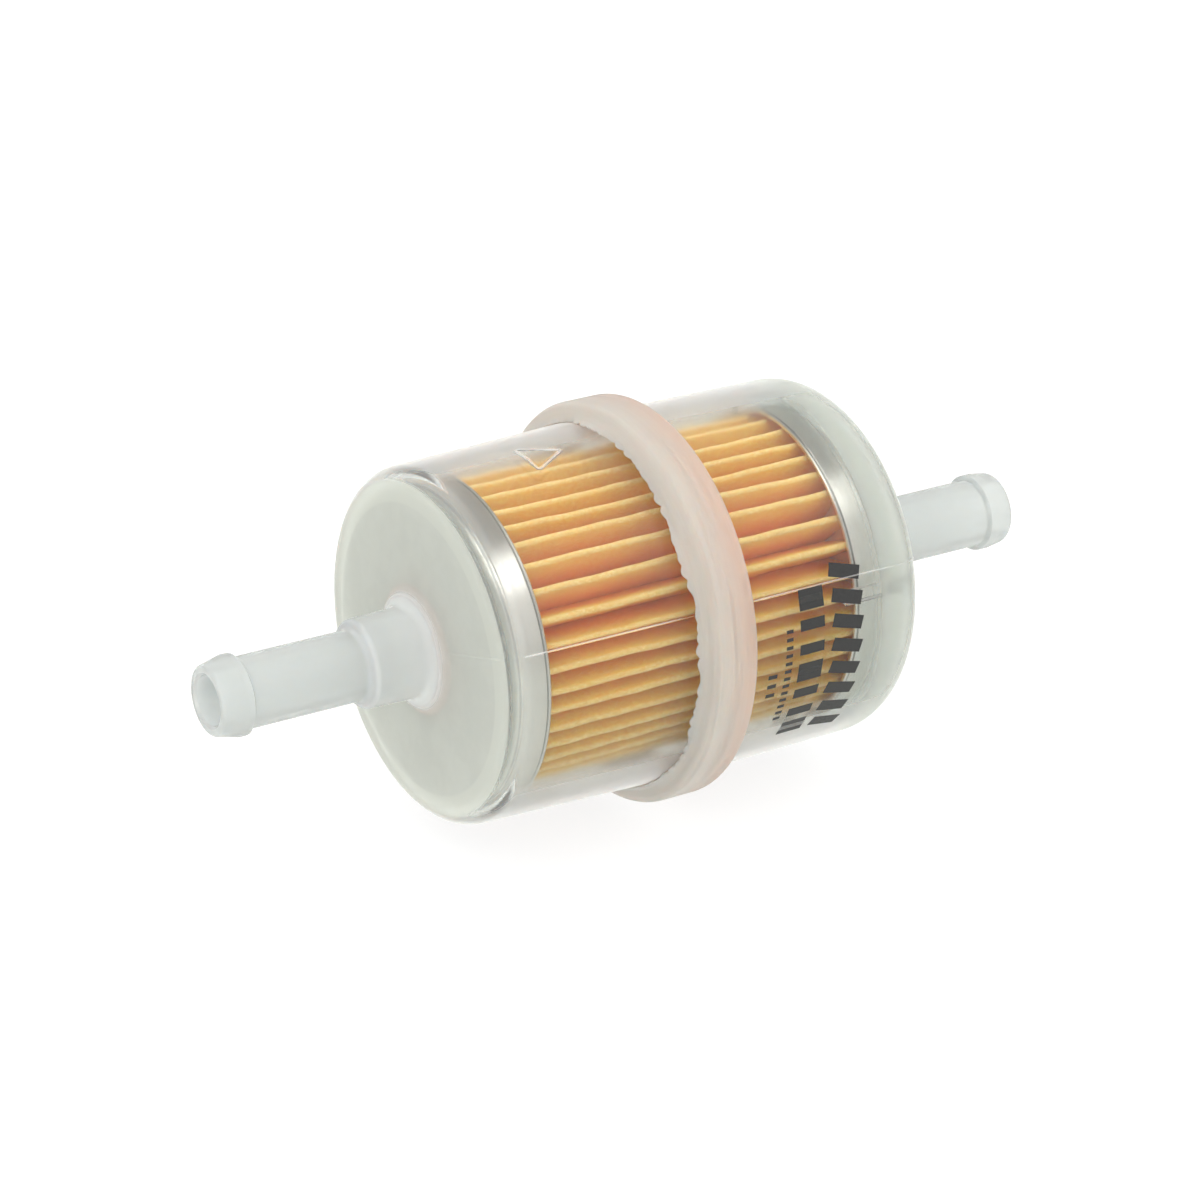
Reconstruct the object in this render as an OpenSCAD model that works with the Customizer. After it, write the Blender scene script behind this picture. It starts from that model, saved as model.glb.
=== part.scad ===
// In-line fuel filter: two moulded nylon half shells, joined by a ring moulded over their rims,
// around a pleated paper element with pressed metal end caps.
// X runs along the filter, from the inlet at -X to the outlet at +X. The origin is the centre.

/* [Hose nipples] */
// Outside diameter of the straight tube that the hose covers
tube_d = 8; // [7.6:0.1:8.4]
// Largest diameter of the barb
barb_d = 9.14; // [8.8:0.02:9.6]
// Diameter of the fuel passage
passage_d = 5.7; // [4.5:0.1:6]
// Length of the cylindrical land on the inlet barb
inlet_land = 0.7; // [0.4:0.1:1.2]
// Length of the cylindrical land on the outlet barb
outlet_land = 1.2; // [0.6:0.1:1.4]
// Outside diameter of the boss at the foot of each nipple
boss_d = 10.1; // [9.2:0.1:11]
// Length of each boss from the end wall
boss_l = 8.1; // [6:0.1:10]

/* [Shells] */
// Length over both nipples
overall_l = 106; // [102:0.5:110]
// Distance from the centre to the inlet end wall's outside
inlet_end = 27.1; // [26.9:0.1:28]
// Distance from the centre to the outlet end wall's outside
outlet_end = 27.8; // [27.6:0.1:28.5]
// Outside diameter beside the collar, inlet shell
inlet_rim_d = 42; // [41.4:0.1:42.4]
// Outside diameter at the end wall, inlet shell
inlet_far_d = 40.5; // [40.3:0.1:42]
// Outside diameter beside the collar, outlet shell
outlet_rim_d = 42.4; // [42:0.1:42.8]
// Outside diameter at the end wall, outlet shell
outlet_far_d = 42; // [41:0.1:42.4]
// Corner radius at the inlet end wall
inlet_corner = 2.5; // [2:0.1:3]
// Corner radius at the outlet end wall
outlet_corner = 4.1; // [3:0.1:4.4]
// Thickness of the shell walls
wall = 1.5; // [1.2:0.05:1.6]

/* [Collar] */
// Outside diameter of the moulded-on ring
collar_d = 46.54; // [45.6:0.02:48]
// Width of the ring
collar_w = 6.44; // [5.6:0.02:8]
// Axial reach of the ring's rounded edge
collar_edge_x = 1.16; // [0.6:0.02:1.6]

/* [Filter element] */
// Number of pleats
pleats = 42; // [30:1:46]
// Outside diameter over the pleat crests
pleats_d = 35; // [33:0.1:35.4]
// Diameter inside the pleats
core_d = 21; // [19:0.1:24]
// Thickness of the filter paper
paper_t = 0.35; // [0.3:0.05:0.5]
// Outside diameter of the metal end caps
cap_d = 36.4; // [36:0.1:36.6]
// Depth of the end caps' skirts
skirt_l = 4.3; // [3.5:0.1:5]
// Thickness of the end caps' sheet
sheet_t = 0.35; // [0.25:0.05:0.4]
// Distance from the centre to the outlet cap's face
outlet_cap_x = 23.35; // [22:0.05:23.6]

/* [Flow arrow] */
// Length of the raised arrowhead
arrow_l = 5.2; // [4:0.1:7]
// Width of the raised arrowhead
arrow_w = 6.2; // [4:0.1:7]
// Height of the arrow's outline above the shell
arrow_h = 0.1; // [0.1:0.05:0.4]

/* [Hidden] */
$fn = 128;

half_l = overall_l / 2;
tube_r = tube_d / 2;
barb_r = barb_d / 2;
boss_r = boss_d / 2;
passage_r = passage_d / 2;
slack = 0.05;            // gap between pieces that only lie against each other

// Nipple details, measured back from the tip
tip_round = 0.5;         // rounding at the mouth
tip_chamfer = 0.3;       // chamfer inside the mouth
inlet_tip_r = 3.9;
outlet_tip_r = 4.25;
inlet_land_from_tip = 2.8;
outlet_land_from_tip = 2.1;
shoulder_l = 0.3;        // slope behind the barb
boss_step_l = 0.45;      // slope from the tube up to the boss
boss_draft = 0.12;       // the boss grows this much in radius towards its foot
foot_fillet = 1.2;       // from the boss to the pad that it stands on
foot_pad_h = 0.9;        // height of that pad above the end wall
foot_pad_slope_l = 0.7;  // reach of its sloping edge

// Rims: butted flanges, with a spigot on the inlet shell inside the outlet shell
flange_r = 22.15;
flange_t = 1;
spigot_l = 1.6;
spigot_t = 0.7;
spigot_gap = 0.05;

// Collar
collar_r = collar_d / 2;
collar_edge_r = 2.06;    // radial depth of the collar's rounded edge

// Ribs that centre the element in the outlet shell and hold it off the end wall
rib_count = 4;
rib_w = 1.4;
rib_start_x = 17;
rib_angle = 8.5;
rib_gap = 0.1;
rib_root = 0.35;         // depth of the rib that is sunk into the wall
stop_reach = 3.6;        // how far each stop reaches in under the cap's face

// End caps
cap_r = cap_d / 2;
cap_corner = 1.1;        // outside radius of the pressed corner
dish_r = 9;              // the caps' middles are pressed in inside this radius
dish_depth = 0.6;
dish_slope = 0.3;
cap_hole_r = 5.6;
inlet_cap_x = -(inlet_end - wall - slack);

// Seal between the inlet shell's end wall and the inlet cap's dish
seal_in_r = 6.2;
seal_out_r = 8.5;
seal_edge = 0.12;

// Potting and pleats
potting_t = 1.9;
potting_in_r = 9.9;
crest_half_w = 0.5;      // half the width of a folded crest
fold_half_gap = 0.05;    // half the gap left inside a fold
first_crest = 152.1;
wander_waves = [2, 5, 7];            // the pleats' uneven spacing: waves round the band,
wander_size = [2.9, 1.4, 1];         // their sizes in degrees
wander_phase = [-116, 152, -122];    // and where they start
paper_start = inlet_cap_x + sheet_t + potting_t;
paper_end = outlet_cap_x - sheet_t - potting_t;
paper_l = paper_end - paper_start;

// Seam of the paper: two flaps in the core, held by a folded clip
seam_pleat = 24;
flap_in_r = 8.2;
flap_w = 2 * paper_t;
clip_t = 0.35;
clip_in_r = 7.7;
clip_out_r = 9.8;
clip_short = 1.5;        // the clip stops this far short of each end of the paper

// Flow arrow on the top of the inlet shell
arrow_angle = 83.5;
arrow_base_x = -14.3;
arrow_line = 0.42;
arrow_round = 0.5;
arrow_root = 0.3;        // depth of the outline that is sunk into the wall

colour_shell = [0.86, 0.89, 0.87, 0.45];
colour_collar = [0.87, 0.80, 0.76, 0.8];
colour_metal = [0.78, 0.78, 0.76];
colour_paper = [0.88, 0.66, 0.33];
colour_potting = [0.72, 0.66, 0.52];
colour_seal = [0.80, 0.62, 0.56];

// Points on an arc about [cx, cy], from angle a0 to a1, in steps segments
function arc(cx, cy, r, a0, a1, steps = 6) =
    [for (i = [0 : steps]) let (a = a0 + (a1 - a0) * i / steps) [cx + r * cos(a), cy + r * sin(a)]];

// Points on a quarter of an ellipse
function oval(cx, cy, rx, ry, a0, a1, steps = 8) =
    [for (i = [0 : steps]) let (a = a0 + (a1 - a0) * i / steps) [cx + rx * cos(a), cy + ry * sin(a)]];

// Revolves a profile of [radius, distance along X]
module turned_along_x() {
    rotate([0, 90, 0]) rotate_extrude() children();
}

// Turns what is drawn at the top of the filter round to angle a, from -Y (0) up to +Z (90)
module round_to(a) {
    rotate([90 - a, 0, 0]) children();
}

// ---- Shells ----

// The nipple's outside, from the mouth back to the end wall at distance e from the centre
function nipple_outline(e, tip_r, land_from_tip, land) = concat(
    [[passage_r + tip_chamfer, half_l]],
    arc(tip_r - tip_round, half_l - tip_round, tip_round, 90, 0, 4),
    [[barb_r, half_l - land_from_tip],
     [barb_r, half_l - land_from_tip - land],
     [tube_r, half_l - land_from_tip - land - shoulder_l],
     [tube_r, e + boss_l],
     [boss_r, e + boss_l - boss_step_l]],
    arc(boss_r + boss_draft + foot_fillet, e + foot_pad_h + foot_fillet, foot_fillet, 180, 270),
    [[boss_r + boss_draft + foot_fillet + foot_pad_slope_l, e]]);

// A shell's outside from the end wall's corner to the rim, and its inside back to the passage
function cup_outline(e, far_r, rim_r, corner, cover) = concat(
    arc(far_r - corner, e - corner, corner, 90, 0),
    [[rim_r, cover],
     [rim_r, flange_t],
     [flange_r, flange_t]]);

function cup_inside(e, far_r, corner) = concat(
    arc(far_r - corner, e - corner, corner - wall, 0, 90),
    [[passage_r, e - wall],
     [passage_r, half_l - tip_chamfer]]);

module inlet_shell_body() {
    rim_r = inlet_rim_d / 2;
    rim_in = rim_r - wall;
    mirror([1, 0, 0]) turned_along_x() polygon(concat(
        nipple_outline(inlet_end, inlet_tip_r, inlet_land_from_tip, inlet_land),
        cup_outline(inlet_end, inlet_far_d / 2, rim_r, inlet_corner, collar_w / 2),
        [[flange_r, 0],
         [rim_in + spigot_t, 0],
         [rim_in + spigot_t, -spigot_l],
         [rim_in, -spigot_l],
         [rim_in, 0]],
        cup_inside(inlet_end, inlet_far_d / 2, inlet_corner)));
}

module outlet_shell_body() {
    rim_r = outlet_rim_d / 2;
    spigot_seat = inlet_rim_d / 2 - wall + spigot_t + spigot_gap;
    turned_along_x() polygon(concat(
        nipple_outline(outlet_end, outlet_tip_r, outlet_land_from_tip, outlet_land),
        cup_outline(outlet_end, outlet_far_d / 2, rim_r, outlet_corner, collar_w / 2),
        [[flange_r, 0],
         [spigot_seat, 0],
         [spigot_seat, spigot_l + spigot_gap],
         [rim_r - wall, spigot_l + spigot_gap]],
        cup_inside(outlet_end, outlet_far_d / 2, outlet_corner)));
}

// An L-shaped rib: along the wall beside the cap's skirt, and in under the cap's face
module centring_rib() {
    wall_in = outlet_far_d / 2 - wall;
    end_in = outlet_end - wall;
    rib_low = cap_r + rib_gap;
    stop_x = outlet_cap_x + slack;
    translate([rib_start_x, -rib_w / 2, rib_low])
        cube([end_in + rib_root - rib_start_x, rib_w, wall_in + rib_root - rib_low]);
    translate([stop_x, -rib_w / 2, cap_r - stop_reach])
        cube([end_in + rib_root - stop_x, rib_w, stop_reach + 2 * rib_gap]);
}

// A triangle that points along +X, with corners of radius r about the corners of the inset triangle
function arrowhead(r) =
    let (half_tip = atan(arrow_w / 2 / arrow_l),
         side = 90 - half_tip,
         tip = arrow_l - arrow_round / sin(half_tip),
         wing = (arrow_l - arrow_round) * tan(half_tip) - arrow_round / cos(half_tip))
    concat(arc(tip, 0, r, -side, side, 4),
           arc(arrow_round, wing, r, side, 180, 4),
           arc(arrow_round, -wing, r, 180, 360 - side, 4));

// A triangular outline, raised on the shell and following its curve
module flow_arrow() {
    shell_r = (inlet_far_d + inlet_rim_d) / 4;
    low_r = shell_r - arrow_root;
    high_r = shell_r + arrow_h;
    intersection() {
        round_to(arrow_angle) translate([arrow_base_x, 0, low_r - 1])
            linear_extrude(high_r - low_r + 2) difference() {
                polygon(arrowhead(arrow_round));
                polygon(arrowhead(arrow_round - arrow_line));
            }
        turned_along_x() polygon([[low_r, arrow_base_x - 1], [high_r, arrow_base_x - 1],
                                  [high_r, arrow_base_x + arrow_l + 1],
                                  [low_r, arrow_base_x + arrow_l + 1]]);
    }
}

module inlet_housing() {
    color(colour_shell) {
        inlet_shell_body();
        flow_arrow();
    }
}

module outlet_housing() {
    color(colour_shell) {
        outlet_shell_body();
        for (i = [0 : rib_count - 1])
            round_to(rib_angle + i * 360 / rib_count) centring_rib();
    }
}

// The ring moulded over both rims, gripping their flanges
module joint_collar() {
    half_w = collar_w / 2;
    foot_r = collar_r - collar_edge_r;
    color(colour_collar) turned_along_x() polygon(concat(
        [[inlet_rim_d / 2, -half_w]],
        oval(foot_r, -half_w + collar_edge_x, collar_edge_r, collar_edge_x, -90, 0),
        oval(foot_r, half_w - collar_edge_x, collar_edge_r, collar_edge_x, 0, 90),
        [[outlet_rim_d / 2, half_w],
         [outlet_rim_d / 2, flange_t],
         [flange_r, flange_t],
         [flange_r, -flange_t],
         [inlet_rim_d / 2, -flange_t]]));
}

// ---- Filter element ----

// A pressed cap whose face is at distance 0 and whose skirt runs in +X; hole_r is 0 for a closed cap
module pressed_cap(hole_r) {
    inner_r = cap_r - sheet_t;
    turned_along_x() polygon(concat(
        [[hole_r, dish_depth],
         [dish_r - dish_slope, dish_depth],
         [dish_r + dish_slope, 0]],
        arc(cap_r - cap_corner, cap_corner, cap_corner, -90, 0),
        [[cap_r, skirt_l],
         [inner_r, skirt_l]],
        arc(cap_r - cap_corner, cap_corner, cap_corner - sheet_t, 0, -90),
        [[dish_r + dish_slope, sheet_t],
         [dish_r - dish_slope, dish_depth + sheet_t],
         [hole_r, dish_depth + sheet_t]]));
}

module inlet_end_cap() {
    color(colour_metal) translate([inlet_cap_x, 0, 0]) pressed_cap(cap_hole_r);
}

module outlet_end_cap() {
    color(colour_metal) translate([outlet_cap_x, 0, 0]) mirror([1, 0, 0]) pressed_cap(0);
}

// The ring of potting that bonds the pleats into a cap
module potting_ring() {
    inner_r = cap_r - sheet_t;
    bevel = cap_corner - sheet_t;
    turned_along_x() polygon([
        [potting_in_r, sheet_t],
        [inner_r - bevel, sheet_t],
        [inner_r, cap_corner],
        [inner_r, sheet_t + potting_t],
        [potting_in_r, sheet_t + potting_t]]);
}

module inlet_potting() {
    color(colour_potting) translate([inlet_cap_x, 0, 0]) potting_ring();
}

module outlet_potting() {
    color(colour_potting) translate([outlet_cap_x, 0, 0]) mirror([1, 0, 0]) potting_ring();
}

// How far the pleat at this turn round the band stands from its even place: a sum of three waves
function wander(turn) =
    wander_size * [for (j = [0 : 2]) sin(wander_waves[j] * turn + wander_phase[j])];

function crest_angle(i) = first_crest + 360 * i / pleats - wander(360 * i / pleats);
function valley_angle(i) = (crest_angle(i) + crest_angle(i + 1)) / 2;

// A point half_w to the side of the radius at angle a
function beside(r, a, half_w) = [r * cos(a) - half_w * sin(a), r * sin(a) + half_w * cos(a)];

// One side of the folded paper: crests at crest_r, valleys at valley_r
function fold_line(crest_r, valley_r, crest_w, valley_w) = [
    for (i = [0 : pleats - 1])
        each [beside(crest_r, crest_angle(i), -crest_w),
              beside(crest_r, crest_angle(i), crest_w),
              beside(valley_r, valley_angle(i), -valley_w),
              beside(valley_r, valley_angle(i), valley_w)]];

module pleated_paper() {
    outer_r = pleats_d / 2;
    inner_r = core_d / 2;
    color(colour_paper) translate([paper_start, 0, 0]) rotate([90, 0, 90]) {
        linear_extrude(paper_l) difference() {
            polygon(fold_line(outer_r, inner_r + paper_t, crest_half_w, fold_half_gap));
            polygon(fold_line(outer_r - paper_t, inner_r, fold_half_gap, crest_half_w));
        }
        rotate(valley_angle(seam_pleat)) translate([flap_in_r, -flap_w / 2, 0])
            cube([inner_r + paper_t / 2 - flap_in_r, flap_w, paper_l]);
    }
}

// A strip folded round the paper's two end flaps
module paper_seam_clip() {
    color(colour_metal) translate([paper_start + clip_short, 0, 0]) rotate([90, 0, 90])
        rotate(valley_angle(seam_pleat)) linear_extrude(paper_l - 2 * clip_short) difference() {
            translate([clip_in_r, -flap_w / 2 - clip_t])
                square([clip_out_r - clip_in_r, flap_w + 2 * clip_t]);
            translate([flap_in_r, -flap_w / 2]) square([clip_out_r - flap_in_r + 1, flap_w]);
        }
}

module inlet_seal() {
    near_x = -(inlet_end - wall);
    far_x = inlet_cap_x + dish_depth;
    color(colour_seal) turned_along_x() polygon([
        [seal_in_r, near_x + seal_edge],
        [seal_in_r + seal_edge, near_x],
        [seal_out_r - seal_edge, near_x],
        [seal_out_r, near_x + seal_edge],
        [seal_out_r, far_x - seal_edge],
        [seal_out_r - seal_edge, far_x],
        [seal_in_r + seal_edge, far_x],
        [seal_in_r, far_x - seal_edge]]);
}

inlet_housing();
outlet_housing();
joint_collar();
inlet_end_cap();
outlet_end_cap();
pleated_paper();
paper_seam_clip();
inlet_potting();
outlet_potting();
inlet_seal();
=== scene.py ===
import math

import bmesh
import bpy
import numpy as np
from mathutils import Matrix, Vector


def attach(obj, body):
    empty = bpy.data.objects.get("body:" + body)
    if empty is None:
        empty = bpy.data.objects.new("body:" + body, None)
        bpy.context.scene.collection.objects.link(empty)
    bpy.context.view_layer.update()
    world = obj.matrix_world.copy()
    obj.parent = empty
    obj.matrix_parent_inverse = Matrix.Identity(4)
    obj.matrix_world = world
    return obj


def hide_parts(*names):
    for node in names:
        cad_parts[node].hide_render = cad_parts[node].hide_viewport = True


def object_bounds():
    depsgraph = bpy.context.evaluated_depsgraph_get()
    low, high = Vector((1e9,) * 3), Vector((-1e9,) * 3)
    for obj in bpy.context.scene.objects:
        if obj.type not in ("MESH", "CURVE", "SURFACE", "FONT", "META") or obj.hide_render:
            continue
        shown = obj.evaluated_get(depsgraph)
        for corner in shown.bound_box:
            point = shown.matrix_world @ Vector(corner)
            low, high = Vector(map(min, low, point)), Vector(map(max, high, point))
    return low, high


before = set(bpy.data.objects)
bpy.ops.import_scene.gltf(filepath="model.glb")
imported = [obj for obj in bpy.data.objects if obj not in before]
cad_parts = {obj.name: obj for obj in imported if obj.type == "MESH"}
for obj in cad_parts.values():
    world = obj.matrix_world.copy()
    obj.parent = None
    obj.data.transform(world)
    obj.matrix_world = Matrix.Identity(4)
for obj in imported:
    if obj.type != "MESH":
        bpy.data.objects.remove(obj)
cad_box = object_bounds()

# An in-line fuel filter, seen from its inlet end. Lengths are in millimetres and angles in degrees
# until a mesh is made. The filter lies along X, and angle 0 round it faces -Y, 90 is up.
MM = 0.001
COLUMNS = 400            # flat steps round a turned piece
PATH_STEP = 1.5          # longest straight part of a section
FINE_STEP = 0.4
ARC_STEP = 9             # angle from point to point in a rounded corner
FINE_ARC_STEP = 4
GAP = 0.02               # left between pieces that touch, so that no two faces coincide

# Shells and nipples
HALF_L = 53.0
TUBE_R = 4.0
BARB_R = 4.57
BARB_BACK_L = 0.3
PASSAGE_R = 2.85
MOUTH_CHAMFER = 0.3
BOSS_R = 5.05
BOSS_L = 8.1
BOSS_STEP_L = 0.45       # from the tube's radius to the boss's
BOSS_DRAFT = 0.12
WALL = 1.5
FLANGE_R = 22.15
FLANGE_T = 1.0
SPIGOT_L = 1.6
SPIGOT_T = 0.7
SPIGOT_PLAY = 0.05

# The two half shells: end is the end wall's outside and far_r the wall's radius there, rim_r its radius
# at the collar, tip_r the nipple's radius at its mouth, and land how far the barb's flat top is from the
# mouth and how long it is. The clear entries are shares of light let through by the frosted disc and by
# the wall's hazy stretch, and tones are screen colours.
INLET = {"side": -1, "end": 27.1, "far_r": 20.25, "rim_r": 21.0, "corner": 2.5,
         "tip_r": 3.9, "land": (2.8, 0.7), "disc_clear": 0.42, "disc_tone": (200, 203, 197),
         "haze": (24.1, 25.6), "haze_clear": 0.9, "haze_rough": 0.08, "haze_tone": (244, 246, 243)}
# The outlet's disc_tone is lighter than the inlet's: painted light that makes up for the dimmer light
# inside the shell, from where that disc is seen.
OUTLET = {"side": 1, "end": 27.8, "far_r": 21.0, "rim_r": 21.2, "corner": 4.1,
          "tip_r": 4.25, "land": (2.1, 1.2), "disc_clear": 0.7, "disc_tone": (226, 229, 224),
          "haze": (18.5, 24.5), "haze_clear": 0.75, "haze_rough": 0.22, "haze_tone": (228, 231, 226)}
DISC_R = 18.9            # the frosted disc on each end wall
# the ring at the disc's edge is a painted highlight, standing in for a raised border that catches light
DISC_RING = 2.3          # width of the evenly toned ring at its edge
FOOT_PAD_H = 0.9         # the nipple stands on a low pad
FOOT_PAD_R = 6.4
FOOT_PAD_SLOPE_L = 0.7
FOOT_FILLET = 1.2
PARTING_ANGLE = 16.0
PARTING_H = 0.07
PARTING_W = 0.09
PARTING_START_X = (3.2, 3.6)    # it rises out of the collar
PARTING_START_R = (7.5, 9)      # and out of the nipple's foot
PARTING_SPREAD = 0.6            # angle to either side that has finer steps

# Raised flow arrow
ARROW_ANGLE = 83.5
ARROW_SPREAD = 10.5      # it lies within this angle to either side
ARROW_R = 20.6           # the shell's radius there
ARROW_BASE_X = -14.3
ARROW_L = 5.2
ARROW_HALF_W = 3.1
ARROW_ROUND = 0.5
ARROW_LINE = 0.42
ARROW_SOFT_IN = 0.2      # its line fades out from this far inside its edge
ARROW_SOFT_OUT = 0.15    # to this far outside
ARROW_MARGIN = 0.3
ARROW_H = 0.04

# Ribs in the outlet shell
RIB_ANGLES = [8.5 + 90 * i for i in range(4)]
RIB_HALF_W = 0.7
RIB_START_X = 17.0
RIB_LEAD = 0.25          # the wall has a row of points this far ahead of the ribs
RIB_LOW_R = 18.3
RIB_SOFT = 0.06          # half the width of the slope on a rib's side
STOP_X = 23.4            # from here the ribs reach further in and hold the cap
STOP_LOW_R = 14.6

# Collar
COLLAR_R = 23.27
COLLAR_HALF_W = 3.22
COLLAR_EDGE_X = 1.16
COLLAR_EDGE_R = 2.06
FLASH = [                # ragged flash on the inlet side, from its tip to the collar's edge:
    (1.0, 0.0, 1, 1),    # distance past the edge, height over the shell, and its shares of
    (1.05, 0.08, 1, 1),  # the slow and of the quick waves
    (1.0, 0.2, 1, 0.8),
    (0.6, 0.32, 0.6, 0.1),
    (0.2, 0.55, 0.2, 0)]

# Element
CAP_R = 18.2
CAP_CORNER = 1.1
SHEET_T = 0.35
SKIRT_L = 4.3
BEAD = [(0.55, 0), (0.38, -0.14), (0.2, 0.05)]      # groove and bead: distance from the edge, height
BEAD_ROUND = 0.08
BEAD_SHADE = 0.42        # where the groove is darkest
RIM_TURN = 0.05          # how far the edge turns in
DISH_R = 9.0
DISH_SLOPE = 0.35        # half the width of the slope at its edge
DISH_ROUND = 0.5
DISH_DEPTH = 0.6
INLET_CAP_X = -25.55
OUTLET_CAP_X = 23.35
CAP_HOLE_R = 5.6
POTTING_T = 1.9
PLEATS = 42
PLEAT_R = 17.5
CORE_R = 10.5
PAPER_T = 0.35
PAPER_SINK = 0.4         # how far the paper's ends stand in the potting
PAPER_ROWS = 61
FOLD_R = 0.2             # radius of a fold, at the middle of the paper
FOLD_POINTS = 9
FOLD_REACH = 80          # a fold turns by this angle to either side
FIRST_CREST = 27.9
WANDER = [(2, 2.9, -116), (5, 1.4, 152), (7, 1.0, -122)]    # waves round the band, degrees, phase
WAVER = [(61, 0.36), (19, 0.14), (7, 0.09)]      # along a crest: wave length, degrees
DIP = 0.06               # the crests lie this far below PLEAT_R, and rise and fall a little
DIP_WAVES = [(31, 0.05), (5.3, 0.03)]            # wave length, height

# Print: rows of plain marks in place of letters and numbers
MARK_ROWS = [            # how many, first angle, step, start, end, slant, width, width of each third
    (8, 18.2, 7.9, 14.3, 18.3, 1.1, 1.6, 1.6),
    (7, 12.5, 7.9, 9.8, 13.1, 0, 1.3, 2.4),
    (13, 3.8, 2.65, 7.9, 8.8, 0, 0.42, 0.42),
    (3, -10, 3.4, 5.7, 6.9, 0, 0.5, 0.5)]
INK_LOW = 0.004          # heights of the ink's two faces above the shell
INK_HIGH = 0.03


# ---- Mesh making ----

def mesh_piece(name, points, faces, material, sharp=35):
    """A closed mesh from points in millimetres, with smooth shading and its real edges kept sharp."""
    mesh = bpy.data.meshes.new(name)
    mesh.from_pydata((np.asarray(points) * MM).tolist(), [], np.asarray(faces).tolist())
    build = bmesh.new()
    build.from_mesh(mesh)
    bmesh.ops.remove_doubles(build, verts=build.verts, dist=1e-8)
    bmesh.ops.recalc_face_normals(build, faces=build.faces)
    build.to_mesh(mesh)
    build.free()
    mesh.polygons.foreach_set("use_smooth", [True] * len(mesh.polygons))
    mesh.set_sharp_from_angle(angle=math.radians(sharp))
    mesh.materials.append(material)
    piece = bpy.data.objects.new(name, mesh)
    bpy.context.scene.collection.objects.link(piece)
    return piece


def around(x, r, angle):
    """Points at distance x along the filter, radius r and an angle round it."""
    a = np.radians(angle)
    x, r, a = np.broadcast_arrays(x, r, a)
    return np.stack([x, -r * np.cos(a), r * np.sin(a)], -1)


def grid_faces(rows, cols, wrap_rows=False, wrap_cols=False, start=0):
    """Quads between neighbours in a grid of rows by cols points."""
    i, j = np.meshgrid(np.arange(rows - (not wrap_rows)), np.arange(cols - (not wrap_cols)),
                       indexing="ij")
    i2, j2 = (i + 1) % rows, (j + 1) % cols
    quads = np.stack([i * cols + j, i * cols + j2, i2 * cols + j2, i2 * cols + j], -1)
    return quads.reshape(-1, 4) + start


def turned(name, section, angles, material, sharp=35):
    """Revolves a closed section of (x, r) about X. It may have its own points at each angle."""
    section = np.asarray(section, float)
    if section.ndim == 2:
        section = spread(section, angles)
    points = around(section[..., 0], section[..., 1], np.asarray(angles)[None, :])
    faces = grid_faces(*section.shape[:2], wrap_rows=True, wrap_cols=True)
    return mesh_piece(name, points.reshape(-1, 3), faces, material, sharp)


def rounded(corners, step=ARC_STEP):
    """A path through corners of (x, r, radius), with an arc at each corner that has a radius."""
    path = []
    for i, (x, r, radius) in enumerate(corners):
        here = np.array([x, r], float)
        if radius == 0 or i in (0, len(corners) - 1):
            path.append(here)
            continue
        back = np.array(corners[i - 1][:2], float) - here
        on = np.array(corners[i + 1][:2], float) - here
        back_l, on_l = np.linalg.norm(back), np.linalg.norm(on)
        back, on = back / back_l, on / on_l
        half = math.acos(np.clip(back @ on, -1, 1)) / 2
        cut = min(radius / math.tan(half), 0.9 * back_l, 0.9 * on_l)
        radius = cut * math.tan(half)
        middle = (back + on) / np.linalg.norm(back + on)
        centre = here + middle * radius / math.sin(half)
        first, last = here + back * cut - centre, here + on * cut - centre
        turn = math.pi - 2 * half
        way = math.copysign(turn, first[0] * last[1] - first[1] * last[0])
        for k in np.linspace(0, way, max(2, int(math.degrees(turn) / step) + 1) + 1):
            c, s = math.cos(k), math.sin(k)
            path.append(centre + [first[0] * c - first[1] * s, first[0] * s + first[1] * c])
    return np.array(path)


def densified(path, step=PATH_STEP):
    """The same path with no part longer than step."""
    path = np.asarray(path, float)
    out = [path[0]]
    for a, b in zip(path[:-1], path[1:]):
        parts = max(1, math.ceil(np.linalg.norm(b - a) / step))
        out += [a + (b - a) * k / parts for k in range(1, parts + 1)]
    return np.array(out)


def resampled(path, count):
    """The same path with count points, evenly spaced along it."""
    along = np.r_[0, np.cumsum(np.linalg.norm(np.diff(path, axis=0), axis=1))]
    at = np.linspace(0, along[-1], count)
    return np.stack([np.interp(at, along, path[:, k]) for k in (0, 1)], -1)


def spread(path, angles):
    """One section, repeated at every angle."""
    return np.repeat(path[:, None, :], len(angles), 1)


def smooth_step(low, high, value):
    """0 below low, 1 above high and a smooth rise between them."""
    t = np.clip((value - low) / (high - low), 0, 1)
    return t * t * (3 - 2 * t)


def off_angle(angles, centre):
    """How far each angle is from centre, between -180 and 180."""
    return (np.asarray(angles) - centre + 180) % 360 - 180


def column_angles(*extra):
    """Evenly spaced angles round the filter, and finer ones where a detail needs them."""
    even = np.arange(COLUMNS) * 360 / COLUMNS
    angles = np.concatenate([even, *[np.asarray(e) % 360 for e in extra]])
    angles = np.unique(np.round(angles, 4))
    keep = np.r_[True, np.diff(angles) > 0.02]
    return angles[keep]


# ---- Shells ----

def nipple_corners(shell):
    """The nipple's outside, from the mouth to its foot, as (x, r, radius of the corner)."""
    from_tip, land = shell["land"]
    barb_back = HALF_L - from_tip - land
    end = shell["end"]
    return [(HALF_L, PASSAGE_R + MOUTH_CHAMFER, 0),
            (HALF_L, shell["tip_r"], 0.5),
            (HALF_L - from_tip, BARB_R, 0.25),
            (barb_back, BARB_R, 0.15),
            (barb_back - BARB_BACK_L, TUBE_R, 0.25),
            (end + BOSS_L, TUBE_R, 0.8),
            (end + BOSS_L - BOSS_STEP_L, BOSS_R, 0.7),
            (end + FOOT_PAD_H, BOSS_R + BOSS_DRAFT, FOOT_FILLET),
            (end + FOOT_PAD_H, FOOT_PAD_R, 0.25),
            (end, FOOT_PAD_R + FOOT_PAD_SLOPE_L, 0.8)]


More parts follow.
